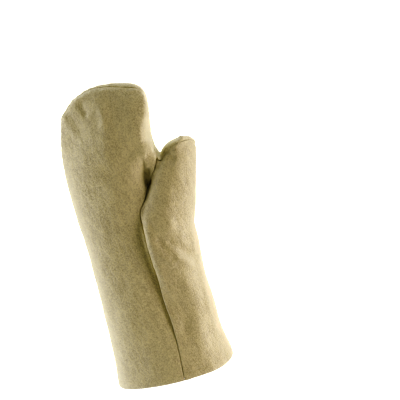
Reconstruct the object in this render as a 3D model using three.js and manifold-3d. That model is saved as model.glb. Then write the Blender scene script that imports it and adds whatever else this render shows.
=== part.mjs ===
// Heat resistant mitten for the right hand, lying on its back with the palm up.
// Millimetres. +Y runs from the cuff to the fingertips, +X to the thumb side, +Z away
// from the surface that it lies on. The origin is the middle of its footprint.
//
// Three cloth pieces are sewn together: the palm, the thumb's front with the strip
// below it, and the back. Each one is a wall of WALL thickness around one hollow.

import * as THREE from 'three';
import Module from 'manifold-3d';
import { mergeVertices } from 'three/addons/utils/BufferGeometryUtils.js';

// ---- driving dimensions ---------------------------------------------------------
const WALL = 3;                // thickness of the felted twill
const SEAM_GAP = 0.3;          // clearance between two cloth pieces along a seam
const REST_SINK = 2;           // how far the round back would reach below the surface
const MOUTH_RUN = 12;          // how far the hollow's tool runs out past the cuff edge
const SLIVER = 0.12;           // facets thinner than this are merged with their neighbours

// Hand and cuff, a row per cross-section. left/right: side outlines, bottom/top: lowest
// and highest cloth, side: height of the widest place, slope/wall: how square the front
// is rounded left and right of its crest.
const HAND = rows(['y', 'left', 'right', 'bottom', 'top', 'side', 'slope', 'wall', 'crest'], [
  [-206, -88.3, 67.5, 0, 76, 35, 1.85, 1.8, -10.4],
  [-190, -87.15, 66.3, 0, 74.5, 34, 1.85, 1.8, -10.4],
  [-176, -86, 65.3, 0, 73, 33.5, 1.88, 1.84, -10.4],
  [-158, -84.1, 61.9, 0, 71, 33, 1.92, 1.9, -11],
  [-140, -82.8, 58.8, 0, 69.3, 32.5, 2, 2, -12],
  [-120, -81.7, 57.5, 0, 67.3, 31.5, 2.08, 2.2, -13],
  [-98, -81.4, 56.9, 0, 65.3, 30.5, 2.15, 2.3, -14],
  [-74, -80.8, 54.9, 0, 63.6, 30, 2.1, 2.4, -16],
  [-50, -80.2, 55.7, 0, 62.2, 29, 2.05, 2.6, -17],
  [-26, -80, 56.9, 0, 61, 28, 2, 2.6, -18],
  [-8, -80.2, 54.2, 0, 60.2, 27.5, 1.95, 2.6, -20],
  [8, -80.9, 46.5, 0, 59.6, 27, 1.9, 2.6, -22],
  [24, -81.9, 36.5, 0, 59, 26.5, 1.85, 2.9, -25],
  [40, -82.2, 25, 0, 58.4, 26, 1.8, 3.2, -26],
  [56, -82.3, 18.6, 0, 57.6, 25.5, 1.7, 3.1, -23.5],
  [70, -82.5, 18.4, 0, 56.8, 25, 1.66, 2.7, -22],
  [82, -82.4, 20.8, 0, 56, 24.5, 1.62, 2.9, -21],
  [94, -82, 28.6, 0, 55, 24, 1.56, 3.2, -20.5],
  [106, -81.4, 34.4, 0, 53.6, 23.5, 1.42, 3.8, -20],
  [118, -80.4, 36, 0, 51.8, 23, 1.3, 4.4, -18],
  [130, -78.6, 37.6, 0, 49.4, 22.5, 1.24, 5, -15.5],
  [142, -75.6, 39.4, 0.6, 46.4, 22, 1.22, 5.4, -13.5],
  [153, -72.6, 40.8, 1.8, 43, 21.7, 1.24, 6, -12.5],
  [162, -69, 41.2, 3.6, 39.6, 21.5, 1.3, 7, -12.5],
  [169, -62.4, 40.2, 5.8, 36.6, 21.3, 1.4, 6, -12.5],
  [175, -55.4, 37.2, 8.2, 33.8, 21.2, 1.7, 5, -12.5],
  [180, -49.2, 30.6, 10.8, 31.2, 21, 2.1, 3.6, -12],
  [184, -40.6, 20.8, 13.2, 28.8, 21, 2.15, 3, -12],
  [187.4, -31.6, 9.4, 15.9, 26.1, 21, 2.15, 2.6, -12],
  [189.4, -23, 0.8, 18.4, 23.6, 21, 2.15, 2.6, -12],
  [190, -17, -6, 20.2, 21.8, 21, 2.15, 2.6, -12],
]);

// Thumb and its root, which starts inside the cuff and rises out of it.
const THUMB = rows(['y', 'left', 'right', 'bottom', 'top', 'side', 'slope', 'wall', 'crest'], [
  [-152, 14, 40, 20, 48, 32, 2.8, 2.2, 27],
  [-128, 6, 49, 16, 59.6, 33, 2.8, 2.1, 27],
  [-108, 0.6, 53.4, 12, 63.2, 33.5, 2.9, 2, 24.5],
  [-88, -3.8, 55, 8.6, 65.6, 34, 3, 2, 21],
  [-66, -6.6, 55, 6, 67.5, 35, 3.4, 1.9, 18],
  [-44, -7.8, 56.4, 4, 68.6, 36, 3.5, 1.75, 15.5],
  [-22, -8, 58.2, 3, 69, 37, 3.5, 1.65, 13.5],
  [-8, -7.6, 59, 2.6, 68.6, 38, 3.5, 1.6, 12],
  [6, -6.8, 63.1, 3, 67.4, 38, 3.5, 1.55, 13.5],
  [20, -4.4, 67.6, 3.6, 65.6, 38, 3.5, 1.5, 21],
  [32, -0.2, 71.2, 4.6, 63.6, 38, 3.5, 1.48, 32],
  [44, 8.8, 74.4, 6, 61.2, 37, 3.4, 1.42, 37.5],
  [56, 17.2, 77.6, 7.8, 58.8, 35.5, 3.2, 1.38, 44],
  [68, 24.4, 80.9, 10, 56.2, 33.5, 3, 1.32, 50.5],
  [78, 31.6, 83.7, 12.4, 53.8, 31.5, 2.8, 1.27, 55],
  [87, 37.7, 86.1, 15.2, 51.4, 30, 2.6, 1.24, 58],
  [93, 42.4, 86.8, 18, 50.6, 29.4, 2.5, 1.22, 59.6],
  [97.5, 47.2, 85.2, 21.2, 49.4, 29.8, 2.4, 1.24, 61.5],
  [101, 53.2, 81.6, 25, 47.4, 31, 2.3, 1.35, 64.5],
  [103.4, 60, 77, 28.8, 44.2, 33.2, 2.2, 1.6, 67.5],
  [104.6, 66.5, 73, 32.8, 39.6, 36.4, 2.2, 2.2, 69.6],
]);

// The web at the back between the hand and the thumb.
const WEB = rows(['y', 'left', 'right', 'bottom', 'top', 'side', 'slope', 'wall'], [
  [-34, 12, 36, 9, 21, 15, 2.6, 2.6],
  [-6, 6, 50, 4, 23, 15, 2.6, 2.6],
  [24, 0, 61, 2.2, 23, 15, 2.6, 2.6],
  [44, 2, 64, 2.8, 34, 15, 2.6, 2.6],
  [60, 4, 64, 4.2, 46, 14, 2.6, 2.6],
  [70, 8, 62, 6, 48.4, 15, 2.6, 2.6],
  [78, 10, 57, 7.6, 48.4, 17, 2.6, 2.6],
  [84, 11, 48, 9.4, 49, 18, 2.6, 2.4],
  [90, 12, 40.5, 10.8, 49, 18.6, 2.6, 2.2],
  [96, 12, 37.6, 11.6, 47.8, 19.4, 2.6, 2.2],
  [102, 12, 36.2, 12.4, 44.6, 20, 2.6, 2.2],
  [108, 13, 35.2, 13.4, 39, 20.4, 2.6, 2.3],
  [116, 15, 33, 15, 30.6, 20.8, 2.6, 2.6],
  [124, 18, 28, 18, 24, 21, 2.6, 2.6],
]);

// Long seam between the palm piece and the thumb piece, from above. It runs from the
// cuff up the valley beside the thumb's root and on between the thumb and the hand.
const LONG_SEAM = rows(['y', 'x'], [
  [-206, -2.7], [-190, -1.8], [-173, -0.6], [-147, 0.9], [-129, 1.3], [-108, 0],
  [-85, -1.7], [-60, -2.4], [-35, -3.6], [-10, -4.4], [10, -3.8], [22, -3.2],
  [29, -1.6], [35, 1.8], [41, 7], [48, 11.4], [56, 15.6], [64, 20.4],
  [70, 25], [76, 29.4], [84, 33.4], [89, 35.6], [96, 38], [108, 43],
  [124, 50], [206, 60],
]);

// Height of the seam round the edge, between the front pieces and the back piece, at
// five places across: little-finger side, index side, web, thumb's inner and outer side.
const EDGE_SEAM = rows(['y', 'little', 'indexX', 'index', 'web', 'innerX', 'inner', 'outerX', 'outer'], [
  [-206, 20, -10, 18, 18, 10, 18, 66, 20],
  [-60, 17, -10, 17, 17, 10, 17, 57, 18],
  [0, 15, 5, 16, 16, 15, 16, 61, 17],
  [30, 15, 14, 16, 16, 20, 16, 71, 18],
  [50, 15, 22, 16, 16, 27, 16, 76, 19],
  [64, 15, 24, 16, 16, 30, 17, 79, 20],
  [74, 15, 27, 17, 20, 31.5, 20.5, 82, 21.6],
  [78, 15, 29, 17.5, 52, 33.5, 49.8, 83.4, 22.6],
  [83, 15.2, 30, 18, 54, 36, 50, 85, 24],
  [87, 15.5, 30.6, 18, 54, 38.4, 50, 86, 25],
  [91, 16, 31.2, 18, 54, 41, 49.8, 86.5, 27],
  [95, 16, 31.6, 18, 54, 46, 49.6, 86.5, 29],
  [99, 16.4, 31.8, 18.4, 52, 54.6, 50, 84.5, 33],
  [101.7, 16.6, 32, 19, 48, 64, 49.6, 81, 37],
  [103.5, 17, 32.6, 19.6, 36, 66, 46.5, 78, 38],
  [106, 17.2, 33.4, 20, 26, 66, 41, 75, 38],
  [116, 17.6, 35, 20.4, 20.4, 66, 38, 75, 38],
  [130, 18.4, 37, 21, 21, 66, 38, 75, 38],
  [142, 19, 38.8, 22.4, 22.4, 66, 36, 75, 36],
  [152, 19.4, 39.6, 24.6, 24.6, 66, 36, 75, 36],
  [160, 19.6, 39.2, 27, 27, 66, 31, 75, 31],
  [168, 19.8, 37, 28.6, 28.6, 66, 31, 75, 31],
  [174, 20, 32, 29.4, 29.4, 66, 31, 75, 31],
  [178, 20, 24, 29.4, 29.4, 66, 31, 75, 31],
  [182, 20.2, 13, 28.4, 28.4, 66, 31, 75, 31],
  [186, 20.6, 1, 26.6, 26.6, 66, 23, 75, 23],
  [188.4, 21, -11, 24.6, 24.6, 66, 22, 75, 22],
  [206, 21, -14, 22, 22, 66, 22, 75, 22],
]);

// The same where the seam rounds the fingertips and the thumb's tip, by place across.
const TIP_SEAM = rows(['x', 'z'], [
  [-95, 20], [-69, 21.6], [-55, 22.6], [-40, 23.4], [-23, 24.4], [-8, 25.8],
  [6, 28], [20, 30.4], [32, 31], [42, 30.4],
]);
const THUMB_TIP_SEAM = rows(['x', 'z'], [
  [30, 28], [37.6, 38], [41, 41.4], [46, 44.4], [54.6, 46.4], [63, 46],
  [70, 43.4], [77, 38.4], [82, 34], [87, 29.6],
]);

// The side of the index finger is a plain slanting face that starts at this line.
const FACE = rows(['y', 'x', 'z'], [
  [-206, 70, 70], [84, 60, 66], [100, 38, 58], [112, 24, 53], [122, 25.6, 51],
  [132, 28.6, 48.6], [146, 35.6, 45.4], [160, 42, 41.4], [170, 46, 40], [180, 50, 40],
  [206, 60, 44],
]);
const FACE_SLOPE = Math.tan((63 * Math.PI) / 180);

// Cuff edge from above: it draws back a little where it turns down at the thumb's side.
const CUFF_EDGE = rows(['x', 'y'], [
  [-95, -189], [-86, -189.6], [-80, -190], [-20, -190], [2, -190], [38, -190],
  [48, -190], [56, -189], [62, -187], [66, -185], [72, -182], [95, -181],
]);

// Valley in the palm piece along the long seam: depth, and its reach to the left.
const VALLEY = rows(['y', 'depth', 'reach'], [
  [-206, 0.2, 7], [-160, 0.6, 7], [-138, 1.3, 7], [-116, 2.5, 7.5], [-92, 3.3, 8.5],
  [-60, 3.4, 9.5], [-30, 2.7, 9.5], [0, 1.9, 9.5], [22, 1, 9], [38, 0, 8],
  [206, 0, 8],
]);

// Folds and dents in the front, a row each: a line from x0,y0 to x1,y1 whose cloth
// stands up (+) or lies in (-) by rise, fading over width to either side.
const FOLDS = rows(['x0', 'y0', 'x1', 'y1', 'width', 'rise'], [
  [-40, 172, -38, 163, 7, -2.1],      // dimple by the fingertip corner
  [19, 97, 26, 99, 8, 1.8],           // palm swelling above the thumb opening
  [-34, 96, -22, 80, 8, -0.6],        // diagonal wrinkle across the palm
  [50, 90.5, 53, 84, 7, -2],          // dimple at the thumb's tip
  [30, 10, 27, 2, 8, 1],              // bump on the thumb's root
  [13, -12, 22, -33, 7, -1.4],        // hollow left of the wrist folds
  [25, 14, 39, -9, 7, 0.8],           // swelling above the wrist crease
  [25, -22, 43, -40, 6, -1.4],        // wrist crease that cuts in from the side
  [30, -38, 47, -58, 7, 1],           // long diagonal fold below the wrist
  [18, -66, 22, -79, 9, -0.9],        // hollow below it
  [23, -106, 15, -125, 9, -1.2],      // lower hollow beside the seam
  [7.6, -110, 9, -121, 7, 1.1],       // swelling by the seam's end of the valley
  [30, -146, 33, -186, 11, 1.4],      // crest of the cuff's outer side
]);

const TWILL = { color: 0xb5a673, roughness: 0.95, metalness: 0 };
const PANEL_TINT = { palm_panel: 0xa89a68, thumb_panel: 0xc4b682, back_panel: 0xb5a673 };

// ---- small tools ------------------------------------------------------------------
function rows(names, values) {
  return values.map((value) => Object.fromEntries(names.map((name, i) => [name, value[i]])));
}

// Smooth reading of a table between its rows, without overshoot.
function read(table, name, at, key = 'y') {
  const last = table.length - 1;
  if (at <= table[0][key]) return table[0][name];
  if (at >= table[last][key]) return table[last][name];
  let i = 0;
  while (table[i + 1][key] < at) i++;
  const slope = (j) => (table[j + 1][name] - table[j][name]) / (table[j + 1][key] - table[j][key]);
  const tangent = (j) => {
    if (j === 0) return slope(0);
    if (j === last) return slope(last - 1);
    const a = slope(j - 1), b = slope(j);
    return a * b <= 0 ? 0 : (2 * a * b) / (a + b);
  };
  const span = table[i + 1][key] - table[i][key];
  const t = (at - table[i][key]) / span;
  const t2 = t * t, t3 = t2 * t;
  return table[i][name] * (2 * t3 - 3 * t2 + 1) + span * tangent(i) * (t3 - 2 * t2 + t)
    + table[i + 1][name] * (3 * t2 - 2 * t3) + span * tangent(i + 1) * (t3 - t2);
}

const clamp = (v, lo, hi) => Math.min(hi, Math.max(lo, v));
const smooth = (a, b, v) => {
  const t = clamp((v - a) / (b - a), 0, 1);
  return t * t * (3 - 2 * t);
};

function toLine(x, y, f) {
  const dx = f.x1 - f.x0, dy = f.y1 - f.y0;
  const t = clamp(((x - f.x0) * dx + (y - f.y0) * dy) / (dx * dx + dy * dy), 0, 1);
  return Math.hypot(x - f.x0 - t * dx, y - f.y0 - t * dy);
}

// Rise of the front's cloth at a place, from the valley and the folds.
function relief(x, y) {
  const off = x - read(LONG_SEAM, 'x', y);
  const reach = off < 0 ? read(VALLEY, 'reach', y) : 4;
  let rise = -read(VALLEY, 'depth', y) * Math.exp(-((off / reach) ** 2));
  for (const f of FOLDS) rise += f.rise * Math.exp(-((toLine(x, y, f) / f.width) ** 2));
  return rise;
}

// Highest that the hand's cloth reaches on the index finger's slanting face.
function faceHeight(x, y, inset) {
  const drop = (x - read(FACE, 'x', y)) * FACE_SLOPE + inset * Math.hypot(1, FACE_SLOPE);
  return read(FACE, 'z', y) - drop;
}

// ---- cross-sections and lofts --------------------------------------------------------
// Each side of a section is a quarter of a rounded box. This is how square the quarters
// are that the mitten lies on.
const UNDER = { HAND: 3, THUMB: 2.3, WEB: 3.2 };

// Places across the section, from -1 to 1, closer together towards the sides.
function across(from, to, count) {
  const a = Math.acos(clamp(-from, -1, 1)), b = Math.acos(clamp(-to, -1, 1));
  return Array.from({ length: count }, (_, i) => -Math.cos(a + ((b - a) * i) / (count - 1)));
}

// One cross-section as a ring of points: over the front from left to right, and back
// underneath. inset moves it inwards for the hollow, shaped adds folds, seamColumns
// puts extra points along the valley.
function ring(table, under, y, { inset, counts, shaped, seamColumns, yOut }) {
  const left = read(table, 'left', y) + inset, right = read(table, 'right', y) - inset;
  const bottom = read(table, 'bottom', y), top = read(table, 'top', y) - inset;
  const side = clamp(read(table, 'side', y), bottom + inset + 0.3, top - 0.3);
  const mid = 'crest' in table[0] ? clamp(read(table, 'crest', y), left + 0.4, right - 0.4) : (left + right) / 2;
  const placeAt = (u) => mid + (u < 0 ? mid - left : right - mid) * u;
  const slope = read(table, 'slope', y), wall = read(table, 'wall', y);
  const resting = bottom < 0.01 && table === HAND;
  const low = resting ? -REST_SINK + inset : bottom + inset;

  let columns = across(-1, 1, counts.over);
  if (seamColumns) {
    const seam = clamp((read(LONG_SEAM, 'x', Math.min(y, 40)) - mid) / (right - mid), -0.5, 0.5);
    const step = Math.min(1 / (right - mid), 0.02);
    columns = [
      ...across(-1, seam - 20 * step, counts.left),
      seam - 11 * step, seam - 5 * step, seam, seam + 3 * step, seam + 8 * step,
      ...across(seam + 18 * step, 1, counts.right),
    ];
  }
  const points = [];
  for (const u of columns) {
    const power = u < 0 ? slope : wall;
    const lift = Math.pow(Math.max(0, 1 - Math.abs(u) ** power), 1 / power);
    let z = side + (top - side) * lift;
    const x = placeAt(u);
    if (shaped) z += relief(x, y) * smooth(0.35, 0.8, lift) * smooth(4, 16, top - side);
    if (table === HAND) z = Math.max(Math.min(z, faceHeight(x, y, inset)), side);
    points.push(new THREE.Vector3(x, yOut, z));
  }
  for (const u of across(-1, 1, counts.under).slice(1, -1).reverse()) {
    const lift = Math.pow(Math.max(0, 1 - Math.abs(u) ** under), 1 / under);
    const z = side - (side - low) * lift;
    points.push(new THREE.Vector3(placeAt(u), yOut, resting ? Math.max(z, inset) : z));
  }
  return points;
}

// Closed body through the rings, with a flat end at each side.
function loft(rings) {
  const n = rings[0].length, positions = [], index = [];
  for (const points of rings) for (const p of points) positions.push(p.x, p.y, p.z);
  for (let i = 0; i + 1 < rings.length; i++) {
    for (let j = 0; j < n; j++) {
      const a = i * n + j, b = i * n + ((j + 1) % n), c = a + n, d = b + n;
      index.push(a, b, c, b, d, c);
    }
  }
  for (const [i, first] of [[0, true], [rings.length - 1, false]]) {
    const centre = rings[i].reduce((s, p) => s.add(p), new THREE.Vector3()).divideScalar(n);
    const hub = positions.length / 3;
    positions.push(centre.x, centre.y, centre.z);
    for (let j = 0; j < n; j++) {
      const a = i * n + j, b = i * n + ((j + 1) % n);
      if (first) index.push(hub, b, a); else index.push(hub, a, b);
    }
  }
  const geometry = new THREE.BufferGeometry();
  geometry.setAttribute('position', new THREE.Float32BufferAttribute(positions, 3));
  geometry.setIndex(index);
  return geometry;
}

// Outer body of a table, or with inset its hollow. The hollow's ends are drawn in by
// the same amount, unless open says that its first end runs out past the cuff.
function body(table, under, stations, options) {
  const { inset = 0, open = false } = options;
  const first = table[0].y, last = table[table.length - 1].y;
  const from = open ? first - MOUTH_RUN : first + inset, to = last - inset;
  const rings = stations.map((y) => {
    const yOut = from + ((y - first) * (to - from)) / (last - first);
    return ring(table, under, y, { inset: 0, ...options, yOut: inset === 0 ? y : shift(y, yOut, first, last, open) });
  });
  return loft(rings);
}

// Only the stations near a drawn-in end move; the rest stay where they are.
function shift(y, yOut, first, last, open) {
  const nearLast = smooth(last - 30, last, y);
  const nearFirst = open ? smooth(first + 12, first, y) : smooth(first + 30, first, y);
  return y + (yOut - y) * Math.max(nearLast, nearFirst);
}

// Everything above (or below) the edge seam, as one thick body with a curved face.
function edgeHeight(x, y) {
  const r = Object.fromEntries(Object.keys(EDGE_SEAM[0]).filter((k) => k !== 'y')
    .map((k) => [k, read(EDGE_SEAM, k, y)]));
  const inner = Math.max(r.innerX, r.indexX + 3.5), outer = Math.max(r.outerX, inner + 8);
  const places = [[-80, r.little], [r.indexX, r.index], [r.indexX + 3, r.web], [inner, r.inner], [outer, r.outer]];
  let height = r.little;
  for (let i = 0; i < 4; i++) {
    const [x0, z0] = places[i], [x1, z1] = places[i + 1];
    if (x > x0) height = z0 + (z1 - z0) * clamp((x - x0) / (x1 - x0), 0, 1);
  }
  height += (read(TIP_SEAM, 'z', x, 'x') - height) * smooth(146, 164, y);
  const thumbTip = smooth(82, 94, y) * smooth(30, 38, x) * (1 - smooth(108, 116, y));
  return height + (read(THUMB_TIP_SEAM, 'z', x, 'x') - height) * thumbTip;
}

function halfSpace(above) {
  const xs = [-100, -80, -69, -55, -40, -23, -8, 6, 14, 20, 24, 27, 28.5, 30, 31, 32, 33, 34.2, 35, 36, 38, 41, 46, 54.6,
    63, 70, 77, 82, 87, 100];
  const ys = [-210, -150, -60, 0, 30, 50, 64, 74, 76, 78, 83, 87, 91, 95, 99, 101.7, 103.5, 106, 111, 116, 130, 142, 148,
    153, 158, 164, 168, 174, 178, 182, 186, 188.4, 200];
  const far = above ? 150 : -50;
  // the face is moved by half the gap square to itself, and by a little more where the seam runs
  // steeply up the web
  const moved = (x, y) => {
    const square = new THREE.Vector3(edgeHeight(x - 0.5, y) - edgeHeight(x + 0.5, y),
      edgeHeight(x, y - 0.5) - edgeHeight(x, y + 0.5), 1);
    const steep = Math.min(1, (square.length() - 1) / 2);
    square.setLength((above ? 1 : -1) * (1 + steep) * SEAM_GAP / 2);
    return [x + square.x, y + square.y, edgeHeight(x, y) + square.z];
  };
  const positions = [], index = [], w = xs.length, h = ys.length;
  for (const face of [0, 1]) {
    for (const y of ys) for (const x of xs) positions.push(...(face ? [x, y, far] : moved(x, y)));
  }
  const at = (i, j, face) => face * w * h + j * w + i;
  const quad = (a, b, c, d) => index.push(a, b, c, a, c, d);
  for (let j = 0; j + 1 < h; j++) {
    for (let i = 0; i + 1 < w; i++) {
      quad(at(i, j, 0), at(i, j + 1, 0), at(i + 1, j + 1, 0), at(i + 1, j, 0));
      quad(at(i, j, 1), at(i + 1, j, 1), at(i + 1, j + 1, 1), at(i, j + 1, 1));
    }
  }
  for (let i = 0; i + 1 < w; i++) {
    quad(at(i, 0, 0), at(i + 1, 0, 0), at(i + 1, 0, 1), at(i, 0, 1));
    quad(at(i + 1, h - 1, 0), at(i, h - 1, 0), at(i, h - 1, 1), at(i + 1, h - 1, 1));
  }
  for (let j = 0; j + 1 < h; j++) {
    quad(at(0, j + 1, 0), at(0, j, 0), at(0, j, 1), at(0, j + 1, 1));
    quad(at(w - 1, j, 0), at(w - 1, j + 1, 0), at(w - 1, j + 1, 1), at(w - 1, j, 1));
  }
  if (!above) for (let i = 0; i < index.length; i += 3) [index[i], index[i + 1]] = [index[i + 1], index[i]];
  const geometry = new THREE.BufferGeometry();
  geometry.setAttribute('position', new THREE.Float32BufferAttribute(positions, 3));
  geometry.setIndex(index);
  return geometry;
}

// Upright block whose plan is the given outline.
function upright(outline) {
  const shape = new THREE.Shape(outline.map(([x, y]) => new THREE.Vector2(x, y)));
  const geometry = new THREE.ExtrudeGeometry(shape, { depth: 200, bevelEnabled: false });
  return geometry.translate(0, 0, -50);
}

// ---- building ------------------------------------------------------------------------
const wasm = await Module();
wasm.setup();

function solid(geometry) {
  const plain = geometry.clone();
  plain.deleteAttribute('normal');
  plain.deleteAttribute('uv');
  const merged = mergeVertices(plain, 1e-4);
  return new wasm.Manifold(new wasm.Mesh({
    numProp: 3,
    vertProperties: new Float32Array(merged.attributes.position.array),
    triVerts: new Uint32Array(merged.index.array),
  }));
}

function mesh(name, manifold) {
  const out = manifold.asOriginal().simplify(SLIVER).getMesh();
  const geometry = new THREE.BufferGeometry();
  geometry.setAttribute('position', new THREE.BufferAttribute(new Float32Array(out.vertProperties), 3));
  geometry.setIndex(new THREE.BufferAttribute(new Uint32Array(out.triVerts), 1));
  geometry.computeVertexNormals();
  const made = new THREE.Mesh(geometry, new THREE.MeshStandardMaterial({ ...TWILL, color: PANEL_TINT[name] }));
  made.name = name;
  return made;
}

const handStations = HAND.map((r) => r.y);
const thumbStations = THUMB.map((r) => r.y);
const webStations = WEB.map((r) => r.y);
const handCounts = { left: 7, right: 6, under: 11 };
const thumbCounts = { over: 12, under: 8 };
const webCounts = { over: 8, under: 8 };

const outer = solid(body(HAND, UNDER.HAND, handStations, { counts: handCounts, shaped: true, seamColumns: true }))
  .add(solid(body(THUMB, UNDER.THUMB, thumbStations, { counts: thumbCounts, shaped: true })))
  .add(solid(body(WEB, UNDER.WEB, webStations, { counts: webCounts })));
const hollow = solid(body(HAND, UNDER.HAND, handStations, { inset: WALL, open: true, counts: handCounts, shaped: true, seamColumns: true }))
  .add(solid(body(THUMB, UNDER.THUMB, thumbStations, { inset: WALL, counts: thumbCounts, shaped: true })))
  .add(solid(body(WEB, UNDER.WEB, webStations, { inset: WALL, counts: webCounts })));

const aboveCuff = upright([
  ...CUFF_EDGE.map((r) => [r.x, r.y]), [95, 200], [-95, 200],
]);
const shell = outer.subtract(hollow).intersect(solid(aboveCuff));

const seamLine = (gap) => LONG_SEAM.map((r) => [r.x + gap, r.y]);
const thumbSide = solid(upright([...seamLine(SEAM_GAP / 2), [120, 206], [120, -206]]));
const palmSide = solid(upright([[-120, -206], ...seamLine(-SEAM_GAP / 2), [-120, 206]]));

const front = shell.intersect(solid(halfSpace(true)));
const back = shell.intersect(solid(halfSpace(false)));

const mitten = new THREE.Group();
mitten.add(mesh('palm_panel', front.intersect(palmSide)));
mitten.add(mesh('thumb_panel', front.intersect(thumbSide)));
mitten.add(mesh('back_panel', back));

export default mitten;
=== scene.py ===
"""A long felted twill mitten for the right hand, lying palm up: its cloth, seams, hem and light."""

import math


import bpy
import numpy as np
from mathutils import Matrix, Vector


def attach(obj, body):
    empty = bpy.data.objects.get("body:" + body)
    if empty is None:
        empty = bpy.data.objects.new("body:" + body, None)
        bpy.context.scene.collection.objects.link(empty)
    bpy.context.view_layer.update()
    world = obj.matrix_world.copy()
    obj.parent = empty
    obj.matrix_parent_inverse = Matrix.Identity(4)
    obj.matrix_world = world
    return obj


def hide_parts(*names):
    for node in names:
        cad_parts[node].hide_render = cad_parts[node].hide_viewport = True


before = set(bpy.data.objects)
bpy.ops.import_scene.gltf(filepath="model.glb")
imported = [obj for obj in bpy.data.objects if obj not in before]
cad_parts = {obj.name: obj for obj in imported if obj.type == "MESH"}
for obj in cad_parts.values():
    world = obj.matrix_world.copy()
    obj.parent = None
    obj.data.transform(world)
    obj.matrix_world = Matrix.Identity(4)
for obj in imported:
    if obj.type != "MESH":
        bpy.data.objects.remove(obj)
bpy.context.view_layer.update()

scene = bpy.context.scene
MM = 0.001
rng = np.random.default_rng(7)

# ---- camera ---------------------------------------------------------------------------
TILT = math.radians(10.0)      # the camera stands a little over the fingertips
LEAN = math.radians(14.5)      # the mitten leans this far to the left in the view
AIM = (73.33, 14.64, 0.0)      # point of the floor on the camera's axis, millimetres
DISTANCE = 1427.25


def make_camera():
    back = Vector((0, math.sin(TILT), math.cos(TILT)))
    up0 = Vector((0, math.cos(TILT), -math.sin(TILT)))
    right0 = Vector((1, 0, 0))
    right = right0 * math.cos(LEAN) - up0 * math.sin(LEAN)
    up = right0 * math.sin(LEAN) + up0 * math.cos(LEAN)
    data = bpy.data.cameras.new("camera")
    data.lens, data.sensor_width = 100, 36
    cam = bpy.data.objects.new("camera", data)
    scene.collection.objects.link(cam)
    rotation = Matrix((right, up, back)).transposed()
    cam.matrix_world = Matrix.Translation((Vector(AIM) + back * DISTANCE) * MM) @ rotation.to_4x4()
    scene.camera = cam


make_camera()

# ---- the mitten's tables, in millimetres ------------------------------------------------


def table(names, rows):
    return {name: np.array([row[i] for row in rows], float) for i, name in enumerate(names)}


# left/right: side outlines, bottom/top: lowest and highest cloth, side: height of the widest
# place, slope/wall: how square the palm side is rounded on the left and on the right, crest:
# where the two meet.
HAND = table(["y", "left", "right", "bottom", "top", "side", "slope", "wall", "crest"], [
    [-206, -88.3, 67.5, -2, 76, 35, 1.85, 1.8, -10.4],
    [-190, -87.15, 66.3, -2, 74.5, 34, 1.85, 1.8, -10.4],
    [-176, -86, 65.3, -2, 73, 33.5, 1.88, 1.84, -10.4],
    [-158, -84.1, 61.9, -2, 71, 33, 1.92, 1.9, -11],
    [-140, -82.8, 58.8, -2, 69.3, 32.5, 2, 2, -12],
    [-120, -81.7, 57.5, -2, 67.3, 31.5, 2.08, 2.2, -13],
    [-98, -81.4, 56.9, -2, 65.3, 30.5, 2.15, 2.3, -14],
    [-74, -80.8, 54.9, -2, 63.6, 30, 2.1, 2.4, -16],
    [-50, -80.2, 55.7, -2, 62.2, 29, 2.05, 2.6, -17],
    [-26, -80, 56.9, -2, 61, 28, 2, 2.6, -18],
    [-8, -80.2, 54.2, -2, 60.2, 27.5, 1.95, 2.6, -20],
    [8, -80.9, 46.5, -2, 59.6, 27, 1.9, 2.6, -22],
    [24, -81.9, 36.5, -2, 59, 26.5, 1.85, 2.9, -25],
    [40, -82.2, 25, -2, 58.4, 26, 1.8, 3.2, -26],
    [56, -82.3, 18.6, -2, 57.6, 25.5, 1.7, 3.1, -23.5],
    [70, -82.5, 18.4, -2, 56.8, 25, 1.66, 2.7, -22],
    [82, -82.4, 20.8, -2, 56, 24.5, 1.62, 2.9, -21],
    [94, -82, 28.6, -2, 55, 24, 1.56, 3.2, -20.5],
    [106, -81.4, 34.4, -2, 53.6, 23.5, 1.42, 3.8, -20],
    [118, -80.4, 36, -2, 51.8, 23, 1.3, 4.4, -18],
    [130, -78.6, 37.6, -1.4, 49.4, 22.5, 1.24, 5, -15.5],
    [142, -75.6, 39.4, 0, 46.4, 22, 1.22, 5.4, -13.5],
    [153, -72.6, 40.8, 1.6, 43, 21.7, 1.24, 6, -12.5],
    [162, -69, 41.2, 3.6, 39.6, 21.5, 1.3, 7, -12.5],
    [169, -62.4, 40.2, 5.8, 36.6, 21.3, 1.4, 6, -12.5],
    [175, -55.4, 37.2, 8.2, 33.8, 21.2, 1.7, 5, -12.5],
    [180, -49.2, 30.6, 10.8, 31.2, 21, 2.1, 3.6, -12],
    [184, -40.6, 20.8, 13.2, 28.8, 21, 2.15, 3, -12],
    [187.4, -31.6, 9.4, 15.9, 26.1, 21, 2.15, 2.6, -12],
    [189.4, -23, 0.8, 18.4, 23.6, 21, 2.15, 2.6, -12],
    [190, -17, -6, 20.2, 21.8, 21, 2.15, 2.6, -12],
])

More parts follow.
